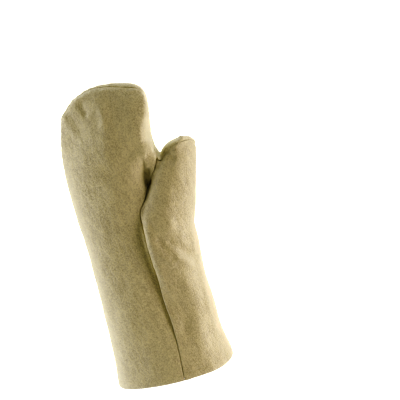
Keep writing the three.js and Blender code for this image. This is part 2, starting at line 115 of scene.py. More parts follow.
THUMB = table(["y", "left", "right", "bottom", "top", "side", "slope", "wall", "crest"], [
    [-152, 14, 40, 20, 48, 32, 2.8, 2.2, 27],
    [-128, 6, 49, 16, 59.6, 33, 2.8, 2.1, 27],
    [-108, 0.6, 53.4, 12, 63.2, 33.5, 2.9, 2, 24.5],
    [-88, -3.8, 55, 8.6, 65.6, 34, 3, 2, 21],
    [-66, -6.6, 55, 6, 67.5, 35, 3.4, 1.9, 18],
    [-44, -7.8, 56.4, 4, 68.6, 36, 3.5, 1.75, 15.5],
    [-22, -8, 58.2, 3, 69, 37, 3.5, 1.65, 13.5],
    [-8, -7.6, 59, 2.6, 68.6, 38, 3.5, 1.6, 12],
    [6, -6.8, 63.1, 3, 67.4, 38, 3.5, 1.55, 13.5],
    [20, -4.4, 67.6, 3.6, 65.6, 38, 3.5, 1.5, 21],
    [32, -0.2, 71.2, 4.6, 63.6, 38, 3.5, 1.48, 32],
    [44, 8.8, 74.4, 6, 61.2, 37, 3.4, 1.42, 37.5],
    [56, 17.2, 77.6, 7.8, 58.8, 35.5, 3.2, 1.38, 44],
    [68, 24.4, 80.9, 10, 56.2, 33.5, 3, 1.32, 50.5],
    [78, 31.6, 83.7, 12.4, 53.8, 31.5, 2.8, 1.27, 55],
    [87, 37.7, 86.1, 15.2, 51.4, 30, 2.6, 1.24, 58],
    [93, 42.4, 86.8, 18, 50.6, 29.4, 2.5, 1.22, 59.6],
    [97.5, 47.2, 85.2, 21.2, 49.4, 29.8, 2.4, 1.24, 61.5],
    [101, 53.2, 81.6, 25, 47.4, 31, 2.3, 1.35, 64.5],
    [103.4, 60, 77, 28.8, 44.2, 33.2, 2.2, 1.6, 67.5],
    [104.6, 66.5, 73, 32.8, 39.6, 36.4, 2.2, 2.2, 69.6],
])

WEB = table(["y", "left", "right", "bottom", "top", "side", "slope", "wall"], [
    [-34, 12, 36, 9, 21, 15, 2.6, 2.6],
    [-6, 6, 50, 4, 23, 15, 2.6, 2.6],
    [24, 0, 61, 2.2, 23, 15, 2.6, 2.6],
    [44, 2, 64, 2.8, 34, 15, 2.6, 2.6],
    [60, 4, 64, 4.2, 46, 14, 2.6, 2.6],
    [70, 8, 62, 6, 48.4, 15, 2.6, 2.6],
    [78, 10, 57, 7.6, 48.4, 17, 2.6, 2.6],
    [84, 11, 48, 9.4, 49, 18, 2.6, 2.4],
    [90, 12, 40.5, 10.8, 49, 18.6, 2.6, 2.2],
    [96, 12, 37.6, 11.6, 47.8, 19.4, 2.6, 2.2],
    [102, 12, 36.2, 12.4, 44.6, 20, 2.6, 2.2],
    [108, 13, 35.2, 13.4, 39, 20.4, 2.6, 2.3],
    [116, 15, 33, 15, 30.6, 20.8, 2.6, 2.6],
    [124, 18, 28, 18, 24, 21, 2.6, 2.6],
])

# How square the side that the mitten lies on is rounded.
UNDER = {"HAND": 3.0, "THUMB": 2.3, "WEB": 3.2}

LONG_SEAM = table(["y", "x"], [
    [-206, -2.7], [-190, -1.8], [-173, -0.6], [-147, 0.9], [-129, 1.3], [-108, 0],
    [-85, -1.7], [-60, -2.4], [-35, -3.6], [-10, -4.4], [10, -3.8], [22, -3.2], [29, -1.6],
    [35, 1.8], [41, 7], [48, 11.4], [56, 15.6], [64, 20.4], [70, 25], [76, 29.4],
    [84, 33.4], [89, 35.6], [96, 38], [108, 43], [124, 50], [206, 60],
])

# Height of the seam round the edge, at five places across: little-finger side, index
# side, web, and the thumb's inner and outer side.
EDGE_SEAM = table(["y", "little", "indexX", "index", "web", "innerX", "inner", "outerX", "outer"], [
    [-206, 20, -10, 18, 18, 10, 18, 66, 20],
    [-60, 17, -10, 17, 17, 10, 17, 57, 18],
    [0, 15, 5, 16, 16, 15, 16, 61, 17],
    [30, 15, 14, 16, 16, 20, 16, 71, 18],
    [50, 15, 22, 16, 16, 27, 16, 76, 19],
    [64, 15, 24, 16, 16, 30, 17, 79, 20],
    [74, 15, 27, 17, 20, 31.5, 20.5, 82, 21.6],
    [78, 15, 29, 17.5, 52, 33.5, 49.8, 83.4, 22.6],
    [83, 15.2, 30, 18, 54, 36, 50, 85, 24],
    [87, 15.5, 30.6, 18, 54, 38.4, 50, 86, 25],
    [91, 16, 31.2, 18, 54, 41, 49.8, 86.5, 27],
    [95, 16, 31.6, 18, 54, 46, 49.6, 86.5, 29],
    [99, 16.4, 31.8, 18.4, 52, 54.6, 50, 84.5, 33],
    [101.7, 16.6, 32, 19, 48, 64, 49.6, 81, 37],
    [103.5, 17, 32.6, 19.6, 36, 66, 46.5, 78, 38],
    [106, 17.2, 33.4, 20, 26, 66, 41, 75, 38],
    [116, 17.6, 35, 20.4, 20.4, 66, 38, 75, 38],
    [130, 18.4, 37, 21, 21, 66, 38, 75, 38],
    [142, 19, 38.8, 22.4, 22.4, 66, 36, 75, 36],
    [152, 19.4, 39.6, 24.6, 24.6, 66, 36, 75, 36],
    [160, 19.6, 39.2, 27, 27, 66, 31, 75, 31],
    [168, 19.8, 37, 28.6, 28.6, 66, 31, 75, 31],
    [174, 20, 32, 29.4, 29.4, 66, 31, 75, 31],
    [178, 20, 24, 29.4, 29.4, 66, 31, 75, 31],
    [182, 20.2, 13, 28.4, 28.4, 66, 31, 75, 31],
    [186, 20.6, 1, 26.6, 26.6, 66, 23, 75, 23],
    [188.4, 21, -11, 24.6, 24.6, 66, 22, 75, 22],
    [206, 21, -14, 22, 22, 66, 22, 75, 22],
])

# The same where the seam rounds the fingertips and the thumb's tip, by place across.
TIP_SEAM = table(["x", "z"], [
    [-95, 20], [-69, 21.6], [-55, 22.6], [-40, 23.4], [-23, 24.4], [-8, 25.8], [6, 28], [20, 30.4],
    [32, 31], [42, 30.4],
])
THUMB_TIP_SEAM = table(["x", "z"], [
    [30, 28], [37.6, 38.6], [41, 42.6], [46, 46.2], [54.6, 48.4], [63, 47.6], [70, 44.4], [77, 38.8],
    [82, 34], [87, 29.6],
])

# The side of the index finger is a plain slanting face that starts at this line.
FACE = table(["y", "x", "z"], [
    [-206, 70, 70], [84, 60, 66], [100, 38, 58], [112, 24, 53], [122, 25.6, 51], [132, 28.6, 48.6],
    [146, 35.6, 45.4], [160, 42, 41.4], [170, 46, 40], [180, 50, 40], [206, 60, 44],
])
FACE_TILT = math.radians(63)

CUFF_EDGE = table(["x", "y"], [
    [-95, -189], [-86, -189.6], [-80, -190], [-20, -190.2], [2, -190.8], [38, -190.9], [48, -190.4], [56, -189],
    [62, -187], [66, -185], [72, -182], [95, -181],
])

# The palm piece sinks along the long seam, by depth over reach to the left of it, and the
# thumb piece stands proud on the right.
VALLEY = table(["y", "depth", "reach", "proud"], [
    [-206, 0.2, 7, 0], [-160, 0.6, 7, 0], [-138, 1.3, 7, 0.2], [-116, 2.5, 7.5, 0.6], [-92, 3.3, 8.5, 0.9],
    [-60, 3.4, 9.5, 1], [-30, 2.7, 9.5, 1], [0, 1.9, 9.5, 0.9], [22, 1, 9, 0.5],
    [38, 0, 8, 0], [206, 0, 8, 0],
])

# Folds and dents: a line from x0,y0 to x1,y1 whose cloth stands up (+) or lies in (-)
# by rise, fading over width to either side, where the cloth is between heights z0 and z1.
FOLDS = table(["x0", "y0", "x1", "y1", "width", "rise", "z0", "z1"], [
    [-39, 172, -37, 162, 5, -1.8, 20, 99],      # dimple by the fingertip corner
    [-20, 174, -16, 150, 6, 1.3, 20, 99],       # ridge beside it
    [-60, 168, -50, 145, 4.5, -0.6, 20, 99],      # wrinkles from the corner
    [-66, 160, -57, 140, 4.5, 0.5, 20, 99],
    [-9, 181, -19, 143, 5, 0.7, 20, 99],          # where the palm turns from its slope to flat
    [-19, 143, -27, 104, 5, 0.5, 20, 99],
    [19, 97, 26, 99, 7, 2.0, 36, 99],             # palm swelling above the thumb opening
    [10, 92, 16, 84, 8, 1.0, 36, 99],
    [2, 100, 12, 108, 7, -0.8, 36, 99],           # soft dents around it
    [-34, 96, -22, 80, 6, -0.5, 36, 99],          # diagonal wrinkles across the palm
    [-52, 72, -42, 56, 6, -0.4, 36, 99],
    [20.5, 97, 20, 80, 4, 2.4, 24, 60],           # the palm's edge rolls over the web
    [25.8, 78, 20.6, 65, 2.8, 1.4, 24, 52],
    [19.6, 75, 16.4, 60, 3.2, -3.4, 20, 54],      # deep pocket left of it
    [50, 90.5, 53, 84, 7, -3.2, 36, 99],          # dimple at the thumb's tip
    [50, 78, 43, 50, 8, -0.8, 36, 99],            # hollow down the thumb's inner half
    [30, 10, 27, 2, 7, 1.4, 36, 99],              # swelling on the thumb's root
    [8, 8, 13, -12, 5, -0.9, 36, 99],             # dark fold that runs down from the seam
    [13, -12, 22, -33, 5, -1.3, 36, 99],
    [25, -16, 43, -34, 4.5, -1.8, 36, 99],        # and its branch to the side
    [25, 14, 39, -9, 6, 0.8, 36, 99],
    [11, -31, 20, -43, 4.5, 1.2, 36, 99],         # bright diagonal fold below it
    [20, -35, 42, -47, 4.5, 1.3, 36, 99],
    [30, -38, 47, -58, 5, 1.0, 36, 99],
    [36, -34, 52, -44, 5, -0.8, 30, 99],
    [15, -49, 24, -62, 6, -0.7, 36, 99],
    [18, -66, 22, -79, 8, -0.8, 36, 99],
    [30, -70, 40, -96, 7, 0.5, 36, 99],
    [23, -106, 15, -125, 9, -1.2, 36, 99],        # lower hollow beside the seam
    [7.6, -110, 9, -121, 5, 1.1, 36, 99],         # swelling by the end of the valley
    [30, -120, 33, -146, 9, 0.6, 36, 99],
    [30, -146, 33, -186, 11, 1.5, 36, 99],        # crest of the cuff's outer side
])

WALL = 3.0          # cloth
LIP = {"edge": 1.0, "long": 1.5}         # radius of the turned edge along each seam
CUT = {"edge": 1.03, "long": 1.75}       # and where its turn starts, from the seam's middle
HEM = 12.0          # depth of the turned hem
STITCH_LINE = 10.8  # where its stitches run
HEM_ROUND = 2.7     # radius of its folded edge
CELL = 1.35         # spacing of the surface's points


class Curve:
    """A table's column, read smoothly between its rows without overshoot."""

    def __init__(self, xs, vs):
        self.xs, self.vs = xs, vs
        d = np.diff(vs) / np.diff(xs)
        m = np.empty(len(xs))
        m[0], m[-1] = d[0], d[-1]
        a, b = d[:-1], d[1:]
        both = a + b
        m[1:-1] = np.where(a * b > 0, 2 * a * b / np.where(both == 0, 1, both), 0)
        self.m = m

    def __call__(self, x):
        x = np.clip(x, self.xs[0], self.xs[-1])
        i = np.clip(np.searchsorted(self.xs, x, side="right") - 1, 0, len(self.xs) - 2)
        span = self.xs[i + 1] - self.xs[i]
        t = (x - self.xs[i]) / span
        t2, t3 = t * t, t * t * t
        return (self.vs[i] * (2 * t3 - 3 * t2 + 1) + span * self.m[i] * (t3 - 2 * t2 + t)
                + self.vs[i + 1] * (3 * t2 - 2 * t3) + span * self.m[i + 1] * (t3 - t2))


def curves(tab, key="y"):
    return {name: Curve(tab[key], tab[name]) for name in tab if name != key}


HAND_C, THUMB_C, WEB_C = curves(HAND), curves(THUMB), curves(WEB)
LONG_C, EDGE_C, VALLEY_C = curves(LONG_SEAM), curves(EDGE_SEAM), curves(VALLEY)
CUFF_C = Curve(CUFF_EDGE["x"], CUFF_EDGE["y"])
FACE_C = curves(FACE)
TIP_C, THUMB_TIP_C = Curve(TIP_SEAM["x"], TIP_SEAM["z"]), Curve(THUMB_TIP_SEAM["x"], THUMB_TIP_SEAM["z"])


def smooth(a, b, v):
    t = np.clip((v - a) / (b - a), 0, 1)
    return t * t * (3 - 2 * t)


# ---- the puffed form as a field ------------------------------------------------------------


def distance(c, under, tab, x, y, z):
    """Rough millimetres to the rounded form on a grid: x, y and z are its axes, shaped to broadcast."""
    first, last = tab["y"][0], tab["y"][-1]
    left, right = c["left"](y), c["right"](y)
    mid = c["crest"](y) if "crest" in c else (left + right) / 2
    top, side, low = c["top"](y), c["side"](y), c["bottom"](y)
    u = np.where(x < mid, (mid - x) / np.maximum(mid - left, 0.4), (x - mid) / np.maximum(right - mid, 0.4))
    w = np.where(z >= side, (z - side) / np.maximum(top - side, 0.4), (side - z) / np.maximum(side - low, 0.4))
    over = np.where(x < mid, c["slope"](y), c["wall"](y))     # a power for each x and y
    above = z >= side
    g = np.where(above, u ** over, u ** under)
    g = g + np.where(above, w ** over, w ** under)
    g = np.where(above, g ** (1 / over), g ** (1 / under))
    g = g + 0.5 * (np.maximum(y - last, 0) + (0 if tab is HAND else np.maximum(first - y, 0)))
    gx, gz = np.gradient(g, CELL, axis=(0, 2))
    return (g - 1) / np.maximum(np.hypot(gx, gz), 0.006)


def join(a, b, k):
    h = np.clip(0.5 + 0.5 * (b - a) / k, 0, 1)
    return b * (1 - h) + a * h - k * h * (1 - h)


def form(x, y, z):
    hand = distance(HAND_C, UNDER["HAND"], HAND, x, y, z)
    thumb = distance(THUMB_C, UNDER["THUMB"], THUMB, x, y, z)
    web = distance(WEB_C, UNDER["WEB"], WEB, x, y, z)
    low = 1 - smooth(6, 24, z)
    k = 2.0 + 14 * low + 9 * (1 - smooth(-125, -85, y)) * (1 - low)
    # beside the thumb's root the side of the wrist is one smooth sweep of cloth
    k = k + 8 * smooth(44, 54, x) * (1 - smooth(20, 45, y))
    face = (x - FACE_C["x"](y)) * math.sin(FACE_TILT) + (z - FACE_C["z"](y)) * math.cos(FACE_TILT)
    hand = -join(-hand, -face, 4.6 - 2 * smooth(125, 145, y))
    return join(join(hand, thumb, k), web, 2.5 + 9 * low)


def surface_nets(f, lo, h):
    inside = f < 0
    shape = f.shape
    cells = tuple(n - 1 for n in shape)

    def part(a, corner):
        return a[tuple(slice(o, n + o) for o, n in zip(corner, cells))]

    corners = [(i, j, k) for i in (0, 1) for j in (0, 1) for k in (0, 1)]
    count = np.zeros(cells, np.int8)
    for corner in corners:
        count += part(inside, corner)
    active = (count > 0) & (count < 8)
    ids = np.full(cells, -1, np.int64)
    ids[active] = np.arange(active.sum())
    cell = np.argwhere(active)
    vals = {c: f[cell[:, 0] + c[0], cell[:, 1] + c[1], cell[:, 2] + c[2]] for c in corners}
    total, n = np.zeros((len(cell), 3)), np.zeros(len(cell))
    for a in corners:
        for axis in range(3):
            if a[axis]:
                continue
            b = tuple(1 if i == axis else a[i] for i in range(3))
            fa, fb = vals[a], vals[b]
            cross = (fa < 0) != (fb < 0)
            t = np.where(cross, fa / np.where(cross, fa - fb, 1), 0)
            point = np.tile(np.array(a, float), (len(cell), 1))
            point[:, axis] += t
            total += point * cross[:, None]
            n += cross
    verts = lo + (cell + total / n[:, None]) * h
    quads = []
    for axis in range(3):
        o1, o2 = (axis + 1) % 3, (axis + 2) % 3
        near = [slice(1, -1)] * 3
        far = [slice(1, -1)] * 3
        near[axis], far[axis] = slice(0, -1), slice(1, None)
        a, b = inside[tuple(near)], inside[tuple(far)]
        node = np.argwhere(a != b)
        out = a[tuple(node.T)]
        node[:, o1] += 1
        node[:, o2] += 1
        e1, e2 = np.eye(3, dtype=int)[o1], np.eye(3, dtype=int)[o2]
        ring = [ids[tuple((node - d).T)] for d in (e1 + e2, e2, 0 * e1, e1)]
        quad = np.stack(ring, 1)
        quad[~out] = quad[~out][:, ::-1]
        quads.append(quad)
    quads = np.concatenate(quads)
    return verts, quads[(quads >= 0).all(1)]


def triangles(v, quads):
    d1 = np.linalg.norm(v[quads[:, 0]] - v[quads[:, 2]], axis=1)
    d2 = np.linalg.norm(v[quads[:, 1]] - v[quads[:, 3]], axis=1)
    first = d1 <= d2
    a = np.where(first[:, None], quads[:, [0, 1, 2]], quads[:, [0, 1, 3]])
    b = np.where(first[:, None], quads[:, [0, 2, 3]], quads[:, [1, 2, 3]])
    return np.concatenate([a, b])


def edges_of(t):
    e = np.sort(np.concatenate([t[:, [0, 1]], t[:, [1, 2]], t[:, [2, 0]]]), axis=1)
    return np.unique(e, axis=0)


def relax(v, e, rounds, amount, weight=None):
    n = len(v)
    degree = np.bincount(e.ravel(), minlength=n)
    for _ in range(rounds):
        mean = np.stack([
            np.bincount(e[:, 0], v[e[:, 1], i], n) + np.bincount(e[:, 1], v[e[:, 0], i], n) for i in range(v.shape[1])
        ], 1) / np.maximum(degree, 1)[:, None]
        step = amount if weight is None else (amount * weight)[:, None]
        v = v + (mean - v) * step
    return v


def normals_of(v, t):
    face = np.cross(v[t[:, 1]] - v[t[:, 0]], v[t[:, 2]] - v[t[:, 0]])
    n = np.stack([sum(np.bincount(t[:, k], face[:, i], len(v)) for k in range(3)) for i in range(3)], 1)
    return n / np.maximum(np.linalg.norm(n, axis=1), 1e-9)[:, None]


# ---- smooth noise for the cloth's own unevenness --------------------------------------------
_WAVES = rng.normal(size=(48, 3))
_WAVES /= np.linalg.norm(_WAVES, axis=1)[:, None]
_PHASE = rng.uniform(0, 2 * math.pi, 48)
_SPREAD = rng.uniform(0.7, 1.4, 48)


def waves(p, length, first, count, stretch=(1, 1, 1)):
    """Sum of sines that reads as soft unevenness of that wavelength, about -1 to 1."""
    q = p * np.array(stretch)
    total = np.zeros(len(p))
    for i in range(first, first + count):
        total += np.sin(q @ _WAVES[i] * (2 * math.pi / (length * _SPREAD[i])) + _PHASE[i])
    return total / math.sqrt(count)


def to_line(x, y, f, i):
    dx, dy = f["x1"][i] - f["x0"][i], f["y1"][i] - f["y0"][i]
    t = np.clip(((x - f["x0"][i]) * dx + (y - f["y0"][i]) * dy) / (dx * dx + dy * dy), 0, 1)
    return np.hypot(x - f["x0"][i] - t * dx, y - f["y0"][i] - t * dy)


def edge_height(x, y):
    r = {name: c(y) for name, c in EDGE_C.items()}
    places = [np.full_like(x, -80.0), r["indexX"], r["indexX"] + 3]
    places.append(np.maximum(r["innerX"], places[2] + 0.5))
    places.append(np.maximum(r["outerX"], places[3] + 8))
    heights = [r["little"], r["index"], r["web"], r["inner"], r["outer"]]
    h = heights[0]
    for (xa, xb), (za, zb) in zip(zip(places[:-1], places[1:]), zip(heights[:-1], heights[1:])):
        h = np.where(x > xa, za + (zb - za) * np.clip((x - xa) / (xb - xa), 0, 1), h)
    h = h + (TIP_C(x) - h) * smooth(146, 164, y)
    return h + (THUMB_TIP_C(x) - h) * smooth(82, 94, y) * smooth(30, 38, x) * (1 - smooth(108, 116, y))


def surface_distance(v, t, e, f, rounds):
    """An evened field as millimetres along the surface to where it is zero."""
    f = relax(f[:, None], e, rounds, 0.5)[:, 0]
    corner = [v[t[:, k]] for k in range(3)]
    face = np.cross(corner[1] - corner[0], corner[2] - corner[0])
    size = np.maximum(np.linalg.norm(face, axis=1), 1e-9)
    part = sum(np.cross(face, corner[(k + 2) % 3] - corner[(k + 1) % 3]) * f[t[:, k]][:, None] for k in range(3))
    part /= size[:, None]
    weight = sum(np.bincount(t[:, k], size, len(v)) for k in range(3))
    slope = np.stack([sum(np.bincount(t[:, k], part[:, i], len(v)) for k in range(3)) for i in range(3)], 1)
    slope = relax(slope / np.maximum(weight, 1e-9)[:, None], e, 3, 0.5)
    return f / np.maximum(np.linalg.norm(slope, axis=1), 0.15)


def seam_fields(v, t, e):
    x, y, z = v.T
    edge = surface_distance(v, t, e, z - edge_height(x, y), 24)
    long = surface_distance(v, t, e, x - LONG_C["x"](y), 4)
    return edge, long, y - CUFF_C(x)


def build_form():
    lo = np.array([-94.0, -207.0, -7.0])
    hi = np.array([94.0, 196.0, 82.0])
    counts = np.ceil((hi - lo) / CELL).astype(int) + 1
    axes = [lo[i] + CELL * np.arange(counts[i]) for i in range(3)]
    f = form(axes[0][:, None, None], axes[1][None, :, None], axes[2][None, None, :])
    v, quads = surface_nets(f, lo, CELL)
    t = triangles(v, quads)
    e = edges_of(t)
    v = relax(v, e, 4, 0.5)
    return v, t, e


v, t, e = build_form()
n = normals_of(v, t)
edge, long, rim = seam_fields(v, t, e)


def relief(v, n, edge, long, rim):
    """How the cloth stands in and out of the plain form: folds, puckers, hem."""
    x, y, z = v.T
    up = smooth(0.25, 0.75, n[:, 2])
    push = np.zeros(len(v))
    for i in range(len(FOLDS["x0"])):
        here = smooth(FOLDS["z0"][i] - 3, FOLDS["z0"][i] + 3, z) * (1 - smooth(FOLDS["z1"][i] - 3, FOLDS["z1"][i] + 3, z))
        push += FOLDS["rise"][i] * np.exp(-(to_line(x, y, FOLDS, i) / FOLDS["width"][i]) ** 2) * up * here
    # unevenness of the thick cloth: broad, then smaller
    push += 0.40 * waves(v, 46, 0, 12, (1, 0.6, 1)) + 0.16 * waves(v, 17, 12, 14, (1, 0.5, 1))
    push += 0.07 * waves(v, 7, 26, 12, (1, 0.6, 1))
    # the cloth gathers a little along its seams
    for field, strength in ((edge, 0.35), (long, 0.22)):
        run = np.where(np.abs(n[:, 1]) > 0.6, x, y)
        ripple = np.sin(run * (2 * math.pi / 8.5) + 1.5 * waves(v, 30, 38, 5))
        push += strength * ripple * np.exp(-(np.abs(field) / 7) ** 2) * (0.4 + 0.6 * smooth(-150, -60, y))
    # both sides dip into a sewn seam, the hem's stitches pull the cloth in
    push += -0.6 * np.exp(-(edge / 4) ** 2)
    push += -0.35 * np.exp(-((rim - STITCH_LINE) / 1.5) ** 2) + 0.2 * np.exp(-((rim - 5) / 4) ** 2)
    return v + n * push[:, None]


v = relief(v, n, edge, long, rim)
v = relax(v, e, 1, 0.35)
# the back lies flat where the mitten rests
z = v[:, 2]
v[:, 2] = np.where(z < 1.2, np.maximum(0, (np.maximum(z, -1.2) + 1.2) ** 2 / 4.8), z)
n = normals_of(v, t)
n_soft = relax(n, e, 4, 0.6)
n_soft /= np.linalg.norm(n_soft, axis=1)[:, None]


# One array for everything that goes with a point, so that cutting keeps it together.
COLS = {name: i for i, name in enumerate(
    ["x", "y", "z", "nx", "ny", "nz", "edge", "long", "rim"])}
data = np.column_stack([v, n_soft, edge, long, rim])


# ---- cutting the form into its pieces ------------------------------------------------------------


def clip(a, t, f):
    """Keeps what has f over 0. Points close to the cut move onto it, so that no slivers are left."""
    a, f = a.copy(), f.copy()
    pairs = edges_of(t)
    fa, fb = f[pairs[:, 0]], f[pairs[:, 1]]
    cross = fa * fb < 0
    p, fa, fb = pairs[cross], fa[cross], fb[cross]
    share = fa / (fa - fb)
    near = np.where(share < 0.5, p[:, 0], p[:, 1])
    other = np.where(share < 0.5, p[:, 1], p[:, 0])
    gap = np.minimum(share, 1 - share)
    order = np.argsort(-gap)
    order = order[gap[order] < 0.25]
    moved = a[near[order]] + (a[other[order]] - a[near[order]]) * gap[order][:, None]
    a_new = a.copy()
    a_new[near[order]] = moved
    f[near[order]] = 0
    a = a_new
    s = np.sign(f).astype(int)[t]
    whole = (s >= 0).all(1) & (s > 0).any(1)
    mixed = (s > 0).any(1) & (s < 0).any(1)
    made, extra, seen = [], [], {}
    base = len(a)
    for tri in t[mixed]:
        ring = []
        for i in range(3):
            p, q = tri[i], tri[(i + 1) % 3]
            if f[p] >= 0:
                ring.append(p)
            if f[p] * f[q] < 0:
                key = (p, q) if p < q else (q, p)
                if key not in seen:
                    share = f[key[0]] / (f[key[0]] - f[key[1]])
                    extra.append(a[key[0]] + (a[key[1]] - a[key[0]]) * share)
                    seen[key] = base + len(extra) - 1
                ring.append(seen[key])
        if len(ring) == 3:
            made.append(ring)
        elif len(ring) == 4:
            made += [[ring[0], ring[1], ring[2]], [ring[0], ring[2], ring[3]]]
    a = np.vstack([a, np.array(extra)]) if extra else a
    f = np.concatenate([f, np.zeros(len(extra))])
    t = np.vstack([t[whole], np.array(made, int).reshape(-1, 3)])
    return a, t


def compact(a, t):
    used = np.unique(t)
    index = np.full(len(a), -1)
    index[used] = np.arange(len(used))
    return a[used], index[t]


def largest(a, t):
    """Only the biggest connected patch."""
    label = np.arange(len(a))
    pairs = edges_of(t)
    while True:
        low = np.minimum(label[pairs[:, 0]], label[pairs[:, 1]])
        new = label.copy()
        np.minimum.at(new, pairs[:, 0], low)
        np.minimum.at(new, pairs[:, 1], low)
        new = new[new]
        if (new == label).all():
            break
        label = new
    names, count = np.unique(label[t[:, 0]], return_counts=True)
    return compact(a, t[label[t[:, 0]] == names[count.argmax()]])


def cut_piece(tests):
    a, tt = data, t
    for make in tests:
        f = make(a)
        near = (f[tt] > 0).any(1)
        a, tt = compact(a, tt[near])
        a, tt = clip(a, tt, make(a))
        a, tt = compact(a, tt)
    return largest(a, tt)


col = COLS


def off_edge(a, side):
    return side * a[:, col["edge"]] - CUT["edge"]


def off_edge_back(a):
    """The back piece also fills the corner where all three pieces meet on the web."""
    corner = np.exp(-(a[:, col["edge"]] ** 2 + a[:, col["long"]] ** 2) / 2.4 ** 2)
    return off_edge(a, -1) + 1.5 * corner * smooth(60, 66, a[:, 1]) * (1 - smooth(90, 96, a[:, 1]))


def off_long(a, side):
    """The gap between the lips closes at the hem."""
    return side * a[:, col["long"]] - CUT["long"] + 0.2 * (1 - smooth(3, 14, a[:, col["rim"]]))


def off_hem(a):
    return a[:, col["rim"]] - HEM_ROUND


PIECES = {
    "palm_panel": [lambda a: off_edge(a, 1), lambda a: off_long(a, -1), off_hem],
    "thumb_panel": [lambda a: off_edge(a, 1), lambda a: off_long(a, 1), off_hem],
    "back_panel": [off_edge_back, off_hem],
}


def unit(a):
    return a / np.maximum(np.linalg.norm(a, axis=1), 1e-9)[:, None]


def nearest_normal(points):
    """The uncut form's normal at the nearest of its points."""
    from mathutils.kdtree import KDTree
    tree = nearest_normal.tree
    if tree is None:
        tree = KDTree(len(v))
        for i, p in enumerate(v):
            tree.insert(p, i)
        tree.balance()
        nearest_normal.tree = tree
    return np.array([n_soft[tree.find(p)[1]] for p in points])


nearest_normal.tree = None

TURN = [math.radians(x) for x in (22, 45, 67, 90)]
FLANGE = [(0.0, 2.4), (0.0, 4.8), (-0.3, 5.5), (-0.7, 5.5), (-1.0, 4.8), (-1.0, 2.2)]
ROWS = len(TURN) + len(FLANGE)


def sink_along_seam(name, a):
    """The palm piece lies in along the long seam and the thumb piece stands over it."""
    y, off = a[:, col["y"]], np.abs(a[:, col["long"]])
    up = smooth(0.25, 0.75, a[:, col["nz"]]) * (a[:, col["edge"]] > 0)
    if name == "palm_panel":
        a[:, 2] -= VALLEY_C["depth"](y) * np.exp(-(off / VALLEY_C["reach"](y)) ** 1.6) * up
    if name == "thumb_panel":
        a[:, 2] += VALLEY_C["proud"](y) * np.exp(-(off / 9) ** 2) * up


def border_rings(t):
    """The patch's edges as closed rings of points, each run with the cloth on its left."""
    half = np.concatenate([t[:, [0, 1]], t[:, [1, 2]], t[:, [2, 0]]])
    _, first, count = np.unique(np.sort(half, 1), axis=0, return_index=True, return_counts=True)
    after = {}
    for p, q in half[first[count == 1]]:
        after.setdefault(int(p), []).append(int(q))
    rings = []
    while after:
        start = next(iter(after))
        ring, at = [], start
        while True:
            ring.append(at)
            step = after[at].pop()
            if not after[at]:
                del after[at]
            at = step
            if at == start:
                break
        rings.append(np.array(ring))
    return rings


def even(values, rounds, amount, held=None):
    """Evens out values along a closed ring, apart from the held places."""
    for _ in range(rounds):
        mean = (np.roll(values, 1, 0) + np.roll(values, -1, 0)) / 2
        new = values + (mean - values) * amount
        values = new if held is None else np.where(held[:, None], values, new)
    return values


def close_piece(name, a, t):
    """The cloth's full thickness, with the edges turned in along the seams and folded at the hem."""
    a = a.copy()
    sink_along_seam(name, a)
    rings = border_rings(t)
    pos = a[:, :3]
    kinds = np.stack([np.abs(off_edge(a, np.sign(a[:, col["edge"]]))), np.abs(off_long(a, np.sign(a[:, col["long"]]))),
                      np.abs(off_hem(a))], 1).argmin(1)
    for ring in rings:
        kind = kinds[ring]
        held = (kind != np.roll(kind, 1)) | (kind != np.roll(kind, -1))
        pos[ring] = even(pos[ring], 3, 0.5, held)
    nor = relax(normals_of(pos, t), edges_of(t), 2, 0.5)
    nor = unit(nor)
    size = len(a)
    thick = WALL + (2 * HEM_ROUND - WALL) * (1 - smooth(HEM - 0.6, HEM + 0.6, a[:, col["rim"]]))
    points, faces = [pos, pos - nor * thick[:, None]], [t, t[:, ::-1] + size]
    # layer is one on the inner wall and down in the seam gaps, where the material paints shade
    extra, layer = [a, a], [np.zeros(size), np.ones(size)]
    base = 2 * size
    for ring in rings:
        m = len(ring)
        b_pos, b_nor = pos[ring], unit(even(nor[ring], 2, 0.5))
        run = unit(np.roll(b_pos, -1, 0) - np.roll(b_pos, 1, 0))
        b_out = unit(even(unit(np.cross(run, b_nor)), 2, 0.5))
        hem = kinds[ring] == 2
        lip = even(np.where(kinds[ring] == 1, LIP["long"], LIP["edge"])[:, None], 6, 0.5)
        shut = even(np.where(kinds[ring] == 1, CUT["long"] - LIP["long"], CUT["edge"] - LIP["edge"])[:, None], 6, 0.5)
        shut = (shut - 0.02) * smooth(1, 14, a[ring][:, [col["rim"]]])
        seam_n = unit(even(nearest_normal(b_pos + b_out * CUT["edge"]), 4, 0.5))
        seam_out = unit(b_out - seam_n * np.sum(b_out * seam_n, 1)[:, None])
        rows = []
        for angle in TURN:
            mix = unit(b_nor * (1 - angle / (math.pi / 2)) + seam_n * (angle / (math.pi / 2)))
            rows.append(b_pos + b_out * lip * math.sin(angle) - mix * lip * (1 - math.cos(angle)))
        for across, down in FLANGE:
            rows.append(rows[len(TURN) - 1] + seam_out * (across * lip + shut) - seam_n * down)
        for k in range(ROWS):
            angle = math.pi * (k + 1) / (ROWS + 1)
            fold = b_pos + b_out * HEM_ROUND * math.sin(angle) - b_nor * HEM_ROUND * (1 - math.cos(angle))
            rows[k] = np.where(hem[:, None], fold, rows[k])
        chain = [ring] + [base + k * m + np.arange(m) for k in range(ROWS)] + [ring + size]
        for r0, r1 in zip(chain[:-1], chain[1:]):
            q0, q1 = np.roll(r0, -1), np.roll(r1, -1)
            faces.append(np.stack([q0, r0, r1], 1))
            faces.append(np.stack([q0, r1, q1], 1))
        points += rows
        extra += [a[ring]] * ROWS
        layer += [np.full(m, 1.0 if k >= len(TURN) else 0.0) for k in range(ROWS)]
        base += ROWS * m
    return np.vstack(points), np.concatenate(faces), np.vstack(extra), np.concatenate(layer)


